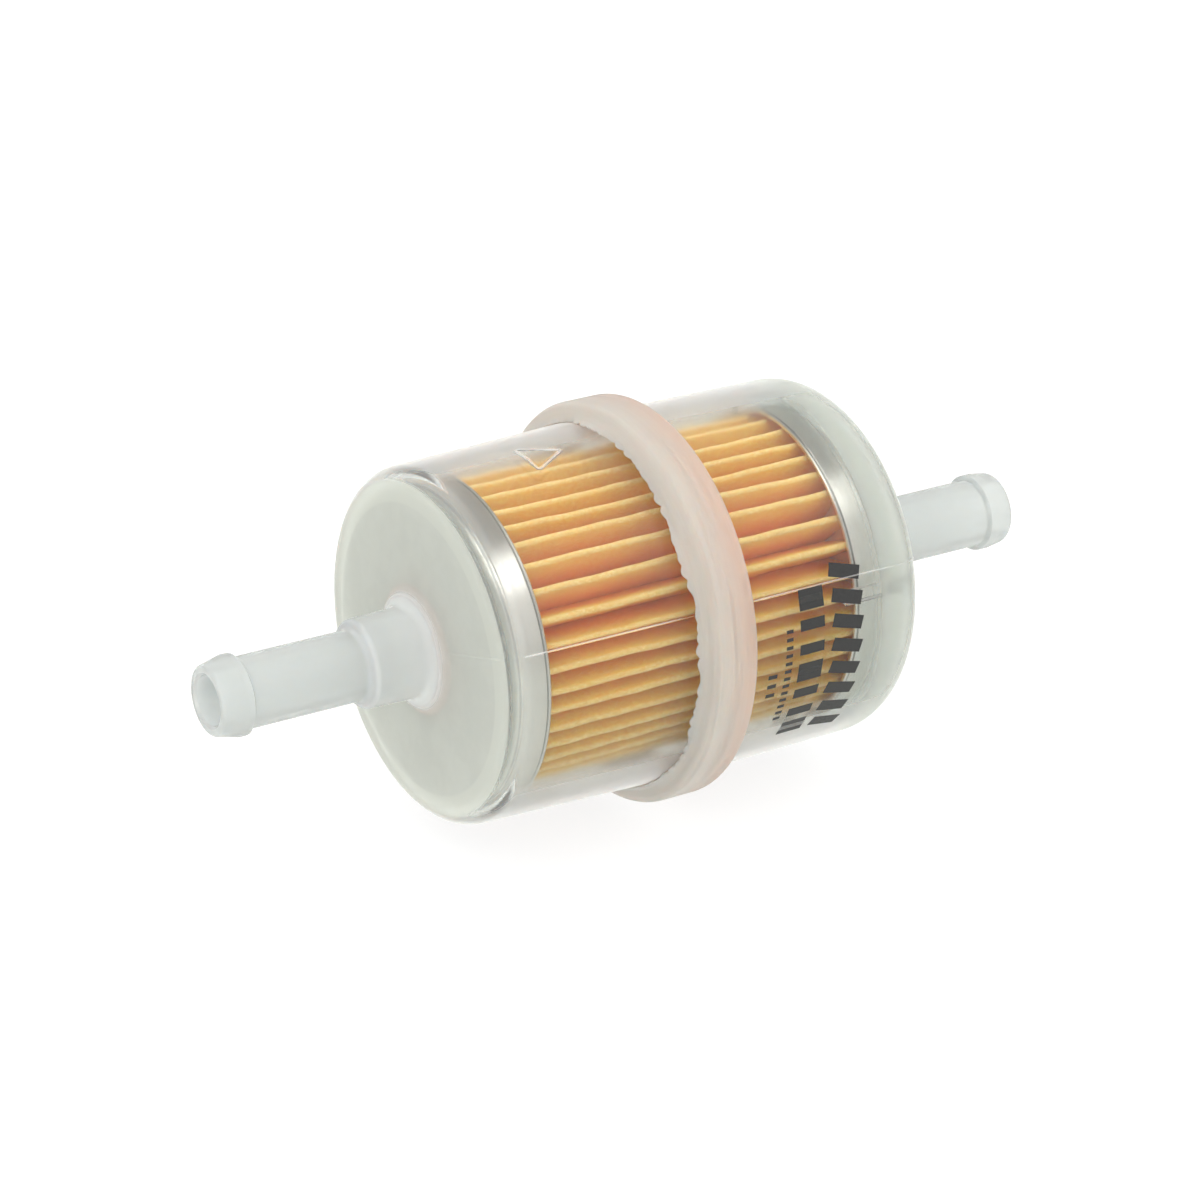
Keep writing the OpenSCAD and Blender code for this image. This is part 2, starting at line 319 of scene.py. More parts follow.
def wall_path(shell):
    """A shell's outside, from the nipple's mouth to the rim under the collar."""
    corners = [(shell["end"], shell["far_r"], shell["corner"]), (COLLAR_HALF_W, shell["rim_r"], 0)]
    return rounded(nipple_corners(shell) + corners, FINE_ARC_STEP)


def bore_corners(end_in):
    """The bore, from the inside of the end wall to the nipple's mouth."""
    return [(end_in, PASSAGE_R, 0.3), (HALF_L - MOUTH_CHAMFER, PASSAGE_R, 0),
            (HALF_L, PASSAGE_R + MOUTH_CHAMFER, 0)]


def shell_radius(x, shell):
    """Outside radius of a shell's wall at distance x."""
    depth = abs(x)
    near, far = COLLAR_HALF_W, shell["end"]
    return shell["rim_r"] + (shell["far_r"] - shell["rim_r"]) * (depth - near) / (far - near)


def arrow_height(x, angle):
    """Height of the raised arrow above the shell, from the distance to a rounded triangle's outline."""
    side = ARROW_R * np.radians(off_angle(angle, ARROW_ANGLE))
    along = x - ARROW_BASE_X
    half_tip = math.atan2(ARROW_HALF_W, ARROW_L)
    tip = ARROW_L - ARROW_ROUND / math.sin(half_tip)
    wing = (ARROW_L - ARROW_ROUND) * math.tan(half_tip) - ARROW_ROUND / math.cos(half_tip)
    corners = np.array([[tip, 0], [ARROW_ROUND, wing], [ARROW_ROUND, -wing]])
    point = np.stack(np.broadcast_arrays(along, side), -1)
    nearest = np.full(point.shape[:-1], np.inf)
    inside = np.ones(point.shape[:-1], bool)
    for a, b in zip(corners, np.roll(corners, -1, 0)):
        edge, to_point = b - a, point - a
        t = np.clip((to_point @ edge) / (edge @ edge), 0, 1)
        nearest = np.minimum(nearest, np.linalg.norm(to_point - t[..., None] * edge, axis=-1))
        inside &= edge[0] * to_point[..., 1] - edge[1] * to_point[..., 0] > 0
    distance = np.where(inside, -nearest, nearest) - ARROW_ROUND
    half = ARROW_LINE / 2
    off_line = np.abs(distance + half)
    return ARROW_H * (1 - smooth_step(half - ARROW_SOFT_IN, half + ARROW_SOFT_OUT, off_line))


def parting_angles():
    """Fine angles over the two mould lines, on opposite sides of the filter."""
    return [PARTING_ANGLE + k + np.linspace(-PARTING_SPREAD, PARTING_SPREAD, 9) for k in (0, 180)]


def parting_height(x, r, angle):
    """Height of the fine ridges that the halves of the mould left along the wall and the end."""
    near = np.minimum(*[np.abs(off_angle(angle, PARTING_ANGLE + k)) for k in (0, 180)])
    ridge = np.exp(-(near * np.radians(r) / PARTING_W) ** 2)
    ridge = ridge * smooth_step(*PARTING_START_X, np.abs(x)) * smooth_step(*PARTING_START_R, r)
    return PARTING_H * ridge


def with_ridges(section, wall_points, angles, extra=0.0):
    """Raises the first wall_points of a section along their own normals, by the ridges and extra."""
    wall = section[:wall_points, 0]
    wall_x, wall_r = section[:wall_points, :, 0], section[:wall_points, :, 1]
    along = np.gradient(wall, axis=0)
    along /= np.linalg.norm(along, axis=1)[:, None]
    normal = np.stack([-along[:, 1], along[:, 0]], -1)
    normal *= np.where(normal[:, :1] * wall[:, :1] + normal[:, 1:] * wall[:, 1:] < 0, -1, 1)
    height = extra + parting_height(wall_x, wall_r, angles[None, :])
    section[:wall_points] += height[..., None] * normal[:, None, :]
    return section


def inlet_wall():
    """The inlet shell's outside, with short steps along the raised arrow."""
    wall = wall_path(INLET)
    arrow = [(at, shell_radius(at, INLET)) for at in (-ARROW_BASE_X + ARROW_MARGIN,
                                                     -ARROW_BASE_X - ARROW_L - ARROW_MARGIN)]
    return np.vstack([densified(wall[:-1]), densified(arrow, 0.1), wall[-1:]])


def inlet_rim():
    """The flange and the spigot that reaches into the outlet shell."""
    rim_in = INLET["rim_r"] - WALL
    return densified([(FLANGE_T, INLET["rim_r"]), (FLANGE_T, FLANGE_R), (GAP / 2, FLANGE_R),
                      (GAP / 2, rim_in + SPIGOT_T), (-SPIGOT_L, rim_in + SPIGOT_T), (-SPIGOT_L, rim_in)])


def inlet_inside():
    """The inside from the rim to the nipple's mouth."""
    end_in = INLET["end"] - WALL
    corners = [(0, INLET["rim_r"] - WALL, 0), (end_in, INLET["far_r"] - WALL, INLET["corner"] - WALL)]
    return densified(rounded(corners + bore_corners(end_in), FINE_ARC_STEP)[:-1])


def inlet_housing(material):
    """The inlet shell, with the raised arrow on its wall."""
    fine = np.arange(-ARROW_SPREAD, ARROW_SPREAD, 0.26)
    angles = column_angles(ARROW_ANGLE + fine, *parting_angles())
    wall = inlet_wall()
    section = spread(np.vstack([wall, inlet_rim(), inlet_inside()]), angles)
    section[..., 0] *= INLET["side"]
    arrow = arrow_height(section[:len(wall), :, 0], angles[None, :])
    arrow[section[:len(wall), 0, 1] < INLET["far_r"] - 0.5] = 0     # none on the end wall
    return turned("inlet_shell", with_ridges(section, len(wall), angles, arrow), angles, material)


def rib_weight(angles):
    """1 on the ribs and 0 between them, with steep sides."""
    weight = np.zeros(len(angles))
    for rib in RIB_ANGLES:
        off = np.abs(off_angle(angles, rib)) * math.radians(OUTLET["far_r"] - WALL)
        slope = smooth_step(RIB_HALF_W - RIB_SOFT, RIB_HALF_W + RIB_SOFT, off)
        weight = np.maximum(weight, 1 - slope)
    return weight


def outlet_rim():
    """The flange and the seat for the inlet shell's spigot."""
    seat_r = INLET["rim_r"] - WALL + SPIGOT_T + SPIGOT_PLAY
    seat_l = SPIGOT_L + SPIGOT_PLAY
    return densified([(FLANGE_T, OUTLET["rim_r"]), (FLANGE_T, FLANGE_R), (GAP / 2, FLANGE_R),
                      (GAP / 2, seat_r), (seat_l, seat_r), (seat_l, OUTLET["rim_r"] - WALL)])


def outlet_inside(angles):
    """The inside from the rim to the mouth. It has its own section on the ribs and between them."""
    rim_in, far_in, end_in = OUTLET["rim_r"] - WALL, OUTLET["far_r"] - WALL, OUTLET["end"] - WALL
    start_r = rim_in + (far_in - rim_in) * RIB_START_X / end_in
    plain = densified(rounded([(RIB_START_X, start_r, 0), (end_in, far_in, OUTLET["corner"] - WALL),
                               (end_in, STOP_LOW_R, 0)], FINE_ARC_STEP), FINE_STEP)
    ribbed = densified(rounded([(RIB_START_X, RIB_LOW_R, 0), (STOP_X, RIB_LOW_R, 0.2),
                                (STOP_X, STOP_LOW_R, 0.3), (end_in, STOP_LOW_R, 0)]), FINE_STEP)
    weight = rib_weight(angles)[None, :, None]
    ribs = plain[:, None, :] * (1 - weight) + resampled(ribbed, len(plain))[:, None, :] * weight
    ahead = np.array([[RIB_START_X - RIB_LEAD, start_r]])
    bore = densified(rounded([(end_in, STOP_LOW_R - GAP, 0), *bore_corners(end_in)])[:-1])
    return np.vstack([spread(ahead, angles), ribs, spread(bore, angles)])


def outlet_housing(material):
    """The outlet shell, with fine steps at the sides of its inner ribs."""
    rib_edge = math.degrees(RIB_HALF_W / (OUTLET["far_r"] - WALL))
    sides = np.concatenate([np.linspace(-0.2, 0.2, 7) + k * rib_edge for k in (-1, 1)])
    angles = column_angles(*[rib + sides for rib in RIB_ANGLES], *parting_angles())
    wall = densified(wall_path(OUTLET))
    outside = spread(np.vstack([wall, outlet_rim()]), angles)
    section = np.vstack([outside, outlet_inside(angles)])
    return turned("outlet_shell", with_ridges(section, len(wall), angles), angles, material)


# ---- Collar ----

def wave_sum(angles, waves, seed):
    """A smooth, repeatable wander round the filter: one sine for each number of waves."""
    shift = np.random.default_rng(seed).uniform(0, 2 * math.pi, len(waves))
    a = np.radians(angles)[:, None]
    return np.sin(a * np.array(waves) + shift).mean(1) * math.sqrt(2 * len(waves))


def collar_section():
    """The collar across: flash, rounded edges, and the recess that holds the shells' flanges."""
    outlet_in, inlet_in = OUTLET["rim_r"] + GAP, INLET["rim_r"] + GAP
    flange_x, flange_r = FLANGE_T + GAP, FLANGE_R + GAP
    top_x = COLLAR_HALF_W - COLLAR_EDGE_X
    bend = np.radians(np.linspace(0, 90, 13))
    edge = np.stack([COLLAR_HALF_W - COLLAR_EDGE_X * (1 - np.cos(bend)),
                     COLLAR_R - COLLAR_EDGE_R + COLLAR_EDGE_R * np.sin(bend)], -1)
    flash = [(-COLLAR_HALF_W - past, inlet_in + height) for past, height, _, _ in FLASH]
    top = densified([(-top_x, COLLAR_R), (top_x, COLLAR_R)], 0.7)[1:-1]
    recess = [(COLLAR_HALF_W, outlet_in), (flange_x, outlet_in), (flange_x, flange_r),
              (-flange_x, flange_r), (-flange_x, inlet_in)]
    return np.vstack([flash, edge[4:] * [-1, 1], top, edge[::-1], recess])


def joint_collar(material):
    """The ring over the joint. Its flash wanders slowly, and juts out a little more here and there."""
    angles = column_angles(np.arange(0, 360, 0.5))
    section = spread(collar_section(), angles)
    slow_share, quick_share = np.array(FLASH)[:, 2:, None].swapaxes(0, 1)
    slow = 0.55 + 0.2 * wave_sum(angles, [3, 7, 13], 4)
    quick = 0.2 * np.abs(wave_sum(angles, [23, 37, 53], 5)) - 0.1
    section[:len(FLASH), :, 0] -= (slow - 1)[None, :] * slow_share + quick[None, :] * quick_share
    return turned("collar", section, angles, material, sharp=40)


# ---- Filter element ----

def pressed_cap(name, face_x, way, hole_r, material):
    """A pressed sheet cap: its face is at face_x and its skirt runs towards way along X."""
    slope = [(DISH_R - DISH_SLOPE, DISH_DEPTH), (DISH_R + DISH_SLOPE, 0)]
    bead = [(SKIRT_L - back, CAP_R + height, BEAD_ROUND) for back, height in BEAD]
    outer_face = [(DISH_DEPTH, hole_r, 0), *[(depth, r, DISH_ROUND) for r, depth in slope],
                  (0, CAP_R, CAP_CORNER), *bead, (SKIRT_L, CAP_R - RIM_TURN, 0)]
    inner_face = [(SKIRT_L, CAP_R - SHEET_T, 0), (SHEET_T, CAP_R - SHEET_T, CAP_CORNER - SHEET_T),
                  *[(depth + SHEET_T, r, DISH_ROUND) for r, depth in reversed(slope)],
                  (DISH_DEPTH + SHEET_T, hole_r, 0)]
    section = np.vstack([densified(rounded(face, 6), 1) for face in (outer_face, inner_face)])
    section = section * [way, 1] + [face_x, 0]
    return turned(name, section, column_angles(), material)


def crest_angles(x):
    """The angle of every pleat's crest at x, unevenly spaced and with a slight waver along X."""
    i = np.arange(PLEATS)
    turn = 2 * math.pi * i / PLEATS
    angle = FIRST_CREST - np.degrees(turn)
    for waves, size, phase in WANDER:
        angle = angle + size * np.sin(waves * turn + math.radians(phase))
    random = np.random.default_rng(11)
    for wave_l, size in WAVER:
        shift = random.uniform(0, 2 * math.pi, PLEATS)
        angle = angle + size * np.sin(2 * math.pi * x / wave_l + shift)
    return angle


def fold(r, angle, way):
    """One rounded fold of the paper round a point at r. It bulges outwards for way 1, inwards for -1."""
    turn = np.radians(np.linspace(-FOLD_REACH, FOLD_REACH, FOLD_POINTS))
    bend = np.stack([way * FOLD_R * np.cos(turn), -FOLD_R * np.sin(turn)], -1)
    return polar(r, angle) + turned_by(bend, angle)


def fold_line(x, crest_r):
    """The middle of the folded paper across the filter at x, as points all the way round.

    The crests' angles fall from pleat to pleat, so each fold runs from its high side to its low."""
    crests = crest_angles(x)
    full_turn = np.where(np.arange(PLEATS) == PLEATS - 1, 360, 0)
    valleys = 0.5 * (crests + np.roll(crests, -1) - full_turn)
    slope = np.linspace(0, 1, FOLD_POINTS)[1:-1, None]
    tops = [fold(crest_r[i] - PAPER_T / 2 - FOLD_R, crests[i], 1) for i in range(PLEATS)]
    line = []
    for i, top in enumerate(tops):
        valley = fold(CORE_R + PAPER_T / 2 + FOLD_R, valleys[i], -1)
        next_top = tops[(i + 1) % PLEATS]
        down = top[-1] + (valley[0] - top[-1]) * slope
        up = valley[-1] + (next_top[0] - valley[-1]) * slope
        line += [top, down, valley, up]
    return np.vstack(line)


def polar(r, angle):
    """A point across the filter, as (towards -Y, towards +Z)."""
    a = math.radians(angle)
    return np.array([r * math.cos(a), r * math.sin(a)])


def turned_by(points, angle):
    """Points across the filter, turned round its axis."""
    a = math.radians(angle)
    c, s = math.cos(a), math.sin(a)
    return points @ np.array([[c, s], [-s, c]])


def paper_sides(x, phase):
    """Points of the paper's two sides across the filter at x."""
    crest_r = PLEAT_R - DIP
    for (wave_l, height), shift in zip(DIP_WAVES, phase):
        crest_r = crest_r + height * np.sin(2 * math.pi * x / wave_l + shift)
    line = fold_line(x, crest_r)
    along = np.roll(line, -1, 0) - np.roll(line, 1, 0)
    along /= np.linalg.norm(along, axis=1)[:, None]
    normal = np.stack([-along[:, 1], along[:, 0]], -1)
    flat = [line + side * PAPER_T / 2 * normal for side in (1, -1)]
    return [np.stack([np.full(len(line), x), -f[:, 0], f[:, 1]], -1) for f in flat]


def pleated_paper(material):
    """The folded band, as its two sides and the two edges between them."""
    to_paper = SHEET_T + POTTING_T - PAPER_SINK
    stations = np.linspace(INLET_CAP_X + to_paper, OUTLET_CAP_X - to_paper, PAPER_ROWS)
    phase = np.random.default_rng(7).uniform(0, 2 * math.pi, (len(DIP_WAVES), PLEATS))
    outer, inner = zip(*[paper_sides(x, phase) for x in stations])
    rows, cols = PAPER_ROWS, len(outer[0])
    inner_start = rows * cols
    j = np.arange(cols)
    j2 = (j + 1) % cols
    ends = [np.stack([j + row, j2 + row, j2 + row + inner_start, j + row + inner_start], -1)
            for row in (0, (rows - 1) * cols)]
    faces = np.vstack([grid_faces(rows, cols, wrap_cols=True),
                       grid_faces(rows, cols, wrap_cols=True, start=inner_start), *ends])
    return mesh_piece("pleated_band", np.vstack(outer + inner), faces, material, sharp=60)


# ---- Print on the outlet shell ----

def stroke(path, width):
    """The two sides of a straight line of even width, at its points of (x, distance round the shell)."""
    along = path[-1] - path[0]
    across = np.array([-along[1], along[0]]) / np.linalg.norm(along) * width / 2
    return path + across, path - across


def ink_marks(marks, material):
    """Thin closed patches of ink that follow the outlet shell."""
    points, faces, count = [], [], 0
    for path, width in marks:
        left, right = stroke(densified(path, FINE_STEP), width)
        rings = []
        for line, height in ((left, INK_LOW), (left, INK_HIGH), (right, INK_HIGH), (right, INK_LOW)):
            r = np.array([shell_radius(x, OUTLET) for x in line[:, 0]]) + height
            rings.append(around(line[:, 0], r, np.degrees(line[:, 1] / OUTLET["rim_r"])))
        rows = len(left)
        points.append(np.stack(rings, 1).reshape(-1, 3))
        faces.append(grid_faces(rows, 4, wrap_cols=True, start=count))
        faces.append(count + np.array([[0, 1, 2, 3]]))
        faces.append(count + (rows - 1) * 4 + np.array([[0, 1, 2, 3]]))
        count += rows * 4
    return mesh_piece("flow_marking", np.vstack(points), np.vstack(faces), material, sharp=30)


def marking():
    """Rows of plain marks round the shell: slanted blocks, squares, and two lines of dashes."""
    marks = []
    for count, first, step, start, end, slant, width, third_width in MARK_ROWS:
        for k in range(count):
            middle = math.radians(first - step * k) * OUTLET["rim_r"]
            path = [(start, middle + slant / 2), (end, middle - slant / 2)]
            marks.append((path, third_width if k % 3 == 0 else width))
    return marks


# ---- Materials ----

MIX_A, MIX_B, MIX_OUT = 6, 7, 2    # the sockets for colours on a Mix node


def colour(r, g, b):
    """A screen colour from 0 to 255 as the linear colour that nodes use."""
    screen = [value / 255 for value in (r, g, b)]
    linear = [c / 12.92 if c <= 0.04045 else ((c + 0.055) / 1.055) ** 2.4 for c in screen]
    return (*linear, 1.0)


def grey(level):
    """A level from 0 to 1 as a colour, so that levels can be mixed like colours."""
    return (level, level, level, 1)


def scaled(tone, factor):
    """A colour made brighter or darker."""
    return (*[factor * c for c in tone[:3]], 1)


class Nodes:
    """A node tree, with a short way to add each kind of node that is used here."""

    def __init__(self, tree):
        self.tree = tree

    def new(self, kind):
        return self.tree.nodes.new("ShaderNode" + kind)

    def put(self, socket, value):
        """Links another node's output to a socket, or sets a fixed value on it."""
        if isinstance(value, bpy.types.NodeSocket):
            self.tree.links.new(value, socket)
        else:
            socket.default_value = value

    def maths(self, operation, *values):
        node = self.new("Math")
        node.operation = operation
        for socket, value in zip(node.inputs, values):
            self.put(socket, value)
        return node.outputs[0]

    def step(self, value, low, high, to_low=0.0, to_high=1.0):
        """A smooth rise from to_low to to_high as value goes from low to high."""
        node = self.new("MapRange")
        node.interpolation_type = "SMOOTHSTEP"
        for name, v in zip(("Value", "From Min", "From Max", "To Min", "To Max"),
                           (value, low, high, to_low, to_high)):
            self.put(node.inputs[name], v)
        return node.outputs[0]

    def near(self, value, centre, none, full, most=1.0):
        """0 where value is more than none away from centre, and most where it is less than full."""
        off = self.maths("ABSOLUTE", self.maths("SUBTRACT", value, centre))
        return self.step(off, none, full, 0.0, most)

    def mix(self, share, a, b):
        node = self.new("Mix")
        node.data_type = "RGBA"
        self.put(node.inputs["Factor"], share)
        self.put(node.inputs[MIX_A], a)
        self.put(node.inputs[MIX_B], b)
        return node.outputs[MIX_OUT]


class Look(Nodes):
    """A node material with one Principled shader. Lengths in its nodes are millimetres."""

    def __init__(self, name, **fixed):
        self.material = bpy.data.materials.new(name)
        self.material.use_nodes = True
        super().__init__(self.material.node_tree)
        self.shader = self.tree.nodes["Principled BSDF"]
        for socket, value in fixed.items():
            self.set(socket.replace("_", " "), value)
        in_mm = self.new("VectorMath")
        in_mm.operation = "SCALE"
        in_mm.inputs["Scale"].default_value = 1 / MM
        self.put(in_mm.inputs[0], self.new("TexCoord").outputs["Object"])
        self.place = in_mm.outputs[0]
        split = self.new("SeparateXYZ")
        self.put(split.inputs[0], self.place)
        self.x, y, z = split.outputs
        squares = self.maths("ADD", self.maths("MULTIPLY", y, y), self.maths("MULTIPLY", z, z))
        self.r = self.maths("SQRT", squares)
        self.turn = self.maths("ARCTAN2", z, self.maths("MULTIPLY", y, -1))

    def set(self, socket, value):
        self.put(self.shader.inputs[socket], value)

    def noise(self, scale, detail=3.0, rough=0.5, place=None, stretch=(1, 1, 1)):
        """Noise with scale features to the millimetre, stretched along the axes."""
        mapping = self.new("Mapping")
        mapping.inputs["Scale"].default_value = stretch
        self.put(mapping.inputs["Vector"], self.place if place is None else place)
        node = self.new("TexNoise")
        for name, v in zip(("Vector", "Scale", "Detail", "Roughness"),
                           (mapping.outputs[0], scale, detail, rough)):
            self.put(node.inputs[name], v)
        return node.outputs["Fac"]

    def along(self, x_scale=1.0, r_scale=1.0, turn_scale=1.0):
        """A place made of x, radius and angle, for grain that follows the turning."""
        node = self.new("CombineXYZ")
        for socket, part, scale in zip(node.inputs, (self.x, self.r, self.turn),
                                       (x_scale, r_scale, turn_scale)):
            self.put(socket, self.maths("MULTIPLY", part, scale))
        return node.outputs[0]

    def shallow(self):
        """0 where the surface faces the ray, 1 at its outline, where the way through is longest."""
        node = self.new("LayerWeight")
        node.inputs["Blend"].default_value = 0.5
        return node.outputs["Facing"]

    def bump(self, height, distance, strength=1.0):
        """Surface detail: height runs from 0 to 1, and distance is its depth in millimetres."""
        node = self.new("Bump")
        self.put(node.inputs["Height"], height)
        node.inputs["Distance"].default_value = distance * MM
        node.inputs["Strength"].default_value = strength
        self.set("Normal", node.outputs[0])


# Nylon: colours, shares of light let through, and roughness of a shell's zones
# foot, boss_step and bore tones are lighter than the nipple's: painted light against the shade near the
# end wall, at the step and in the bore
NYLON_TONES = {"wall": colour(252, 253, 252), "frost_ring_highlight": colour(207, 210, 203),
               "pad_ring": colour(222, 212, 207), "pad_edge": colour(206, 202, 200),
               "nipple": colour(218, 221, 220), "foot": colour(227, 230, 230),
               "boss_step": colour(231, 234, 235), "bore": colour(232, 234, 234)}
CLEAR = {"wall": 0.992, "raised": 0.75, "outline": 0.42, "nipple": 0.6, "foot": 0.4,
         "lost_in_clouds": 0.01}
ROUGH = {"wall": 0.05, "outline": 0.5, "frost": 0.4, "nipple": 0.11}
RAISED_LOW, RAISED_HIGH = 0.01, 0.04     # height over the wall that counts as an arrow or mould line


def nylon_zones(look, shell):
    """Masks from 0 to 1 for the parts of a shell, told apart by their place, with soft borders."""
    end = shell["end"]
    depth = look.maths("MULTIPLY", look.x, shell["side"])
    at_end = look.step(depth, end - 0.8, end - 0.4)
    frost = look.maths("MULTIPLY", at_end, look.step(look.r, DISC_R + 0.3, DISC_R - 0.1))
    ring_r = DISC_R - DISC_RING
    taper = (shell["rim_r"] - shell["far_r"]) / (end - COLLAR_HALF_W)
    wall_r = look.maths("SUBTRACT", shell["rim_r"] + taper * COLLAR_HALF_W,
                        look.maths("MULTIPLY", depth, taper))
    raised = look.step(look.maths("SUBTRACT", look.r, wall_r), RAISED_LOW, RAISED_HIGH)
    for start, full in ((COLLAR_HALF_W + 0.4, COLLAR_HALF_W + 0.6), (end - 1, end - 2)):
        raised = look.maths("MULTIPLY", raised, look.step(depth, start, full))
    return {
        "nipple": look.step(depth, end + FOOT_PAD_H - 0.6, end + FOOT_PAD_H),
        # the foot zone's lighter tone is painted light; its lower clearness is real
        "foot": look.step(depth, end + BOSS_L + 1, end + FOOT_PAD_H),       # thicker, and milkier
        "boss_step": look.near(depth, end + BOSS_L - 0.2, 0.8, 0.2),
        "bore": look.step(look.r, PASSAGE_R + 0.5, PASSAGE_R + 0.1),
        "pad_edge": look.step(look.r, FOOT_PAD_R - 0.5, FOOT_PAD_R, 0.0, 0.6),
        "pad_ring": look.maths("MULTIPLY", frost, look.near(look.r, FOOT_PAD_R + 0.4, 1.0, 0.1, 0.5)),
        "frost": frost,
        "frost_ring_highlight": look.maths("MULTIPLY", frost, look.step(look.r, ring_r - 0.2, ring_r + 0.2)),
        "haze": look.step(depth, *shell["haze"]),
        "raised": raised}


def nylon_colour(look, shell, zones, cloud):
    """Nearly colourless wall, greyer disc and bluish-white nipple, lighter at its foot, boss step and
    bore: painted light against the shade there.
    """
    wall = look.mix(zones["haze"], NYLON_TONES["wall"], colour(*shell["haze_tone"]))
    disc_tone = colour(*shell["disc_tone"])
    disc = look.mix(look.step(cloud, 0.35, 0.65), scaled(disc_tone, 0.975), scaled(disc_tone, 1.02))
    wall = look.mix(zones["frost"], wall, disc)
    # painted highlight: a lighter ring at the frosted disc's edge
    for zone in ("frost_ring_highlight", "pad_ring"):
        wall = look.mix(zones[zone], wall, NYLON_TONES[zone])
    milky = NYLON_TONES["nipple"]
    for zone in ("foot", "boss_step", "bore", "pad_edge"):
        milky = look.mix(zones[zone], milky, NYLON_TONES[zone])
    return look.mix(zones["nipple"], wall, milky)


def nylon_clearness(look, shell, zones, cloud):
    """The share of light that goes through. It is smaller at the outline, where the way is longer."""
    clear = look.mix(zones["haze"], grey(CLEAR["wall"]), grey(shell["haze_clear"]))
    clear = look.mix(zones["frost"], clear, grey(shell["disc_clear"]))
    clear = look.mix(zones["raised"], clear, grey(CLEAR["raised"]))
    clear = look.maths("SUBTRACT", clear, look.maths("MULTIPLY", cloud, CLEAR["lost_in_clouds"]))
    clear = look.mix(look.step(look.shallow(), 0.5, 1.0), clear, grey(CLEAR["outline"]))
    milky = look.mix(zones["foot"], grey(CLEAR["nipple"]), grey(CLEAR["foot"]))
    return look.mix(zones["nipple"], clear, milky)


def nylon_roughness(look, shell, zones):
    """Glossy where it is seen face on, softer at the outline, in the haze and on the frosted disc."""
    rough = look.mix(look.step(look.shallow(), 0.35, 0.85), grey(ROUGH["wall"]), grey(ROUGH["outline"]))
    rough = look.maths("MAXIMUM", rough, look.maths("MULTIPLY", zones["haze"], shell["haze_rough"]))
    rough = look.mix(zones["frost"], rough, grey(ROUGH["frost"]))
    return look.mix(zones["nipple"], rough, grey(ROUGH["nipple"]))


def clear_nylon(name, shell):
    """Clear wall that turns hazy towards the end, frosted disc on the end wall and milky nipple."""
    look = Look(name, IOR=1.4, Subsurface_Weight=1.0, Subsurface_Scale=0.001,
                Subsurface_Radius=(1.2, 1.3, 1.4))
    zones = nylon_zones(look, shell)
    cloud = look.noise(0.35, detail=4)
    look.set("Base Color", nylon_colour(look, shell, zones, cloud))
    look.set("Transmission Weight", nylon_clearness(look, shell, zones, cloud))
    look.set("Roughness", nylon_roughness(look, shell, zones))
    flow = look.noise(0.5, detail=4, place=look.along(0.35, 1, 8))
    look.bump(flow, 0.004, 0.3)
    return look.material


def milky_nylon():
    """The collar: fine streaks round it, pale on the inlet side and pinkish on the outlet side."""
    look = Look("milky_nylon", IOR=1.5, Subsurface_Weight=0.6, Subsurface_Scale=0.0015,
                Subsurface_Radius=(1.0, 0.7, 0.55))
    streaks = look.noise(1.8, detail=4, rough=0.6, place=look.along(turn_scale=0.8))
    outlet_side = look.step(look.x, -2.6, 2.8)
    pale = look.mix(streaks, colour(222, 217, 209), colour(237, 233, 228))
    pink = look.mix(streaks, colour(223, 201, 189), colour(235, 219, 209))
    look.set("Base Color", look.mix(outlet_side, pale, pink))
    look.set("Transmission Weight", look.step(streaks, 0.3, 0.8, 0.5, 0.68))
    look.set("Roughness", look.step(streaks, 0.2, 0.8, 0.3, 0.5))
    look.bump(look.noise(1.2, detail=5, rough=0.6), 0.03)
    return look.material


def pressed_metal(name, tone=0.95):
    """Sheet metal: grain round it, painted shade in dark streaks on the pressed corners and in the
    groove, and soft stains.
    """
    look = Look(name, Metallic=1.0, Anisotropic=0.3)
    bright = (tone, tone * 0.985, tone * 0.95, 1)
    dull = (tone * 0.8, tone * 0.79, tone * 0.76, 1)
    dark = (tone * 0.3, tone * 0.3, tone * 0.29, 1)
    grain = look.noise(3.6, detail=5, rough=0.7, place=look.along(turn_scale=0.9))
    cloud = look.noise(0.35, detail=4, rough=0.6)
    corner = look.maths("MAXIMUM", look.step(look.x, INLET_CAP_X + 1.2, INLET_CAP_X + 0.9),
                        look.step(look.x, OUTLET_CAP_X - 1.2, OUTLET_CAP_X - 0.9))
    corner = look.maths("MULTIPLY", corner, look.step(look.r, CAP_R - 1.5, CAP_R - 0.9))
    base = look.mix(look.maths("ADD", look.maths("MULTIPLY", grain, 0.5),
                               look.maths("MULTIPLY", cloud, 0.5)), dull, bright)
    # Dark streaks on the pressed corners: painted shade that breaks their bright reflection into lines.
    corner_streak_noise = look.noise(2.6, detail=3, rough=0.6, place=look.along(turn_scale=0.04))
    shaded_corner_streaks = look.maths("MULTIPLY", corner, look.step(corner_streak_noise, 0.5, 0.6, 0.0, 0.7))
    base = look.mix(shaded_corner_streaks, base, dark)
    # Painted shade: a dark line in the groove beside the bead.
    for groove_x in (INLET_CAP_X + SKIRT_L - BEAD_SHADE, OUTLET_CAP_X - SKIRT_L + BEAD_SHADE):
        base = look.mix(look.near(look.x, groove_x, 0.16, 0.06, 0.75), base, dark)
    look.set("Base Color", base)
    look.set("Roughness", look.mix(corner, look.step(grain, 0.2, 0.8, 0.26, 0.44), grey(0.2)))
    lines = look.noise(3.2, detail=5, rough=0.7, place=look.along(turn_scale=0.15))
    height = look.maths("ADD", look.maths("MULTIPLY", grain, 0.25),
                        look.maths("MULTIPLY", lines, look.maths("MULTIPLY", corner, 1.8)))
    look.bump(look.maths("ADD", height, look.maths("MULTIPLY", cloud, 0.5)), 0.06)
    return look.material


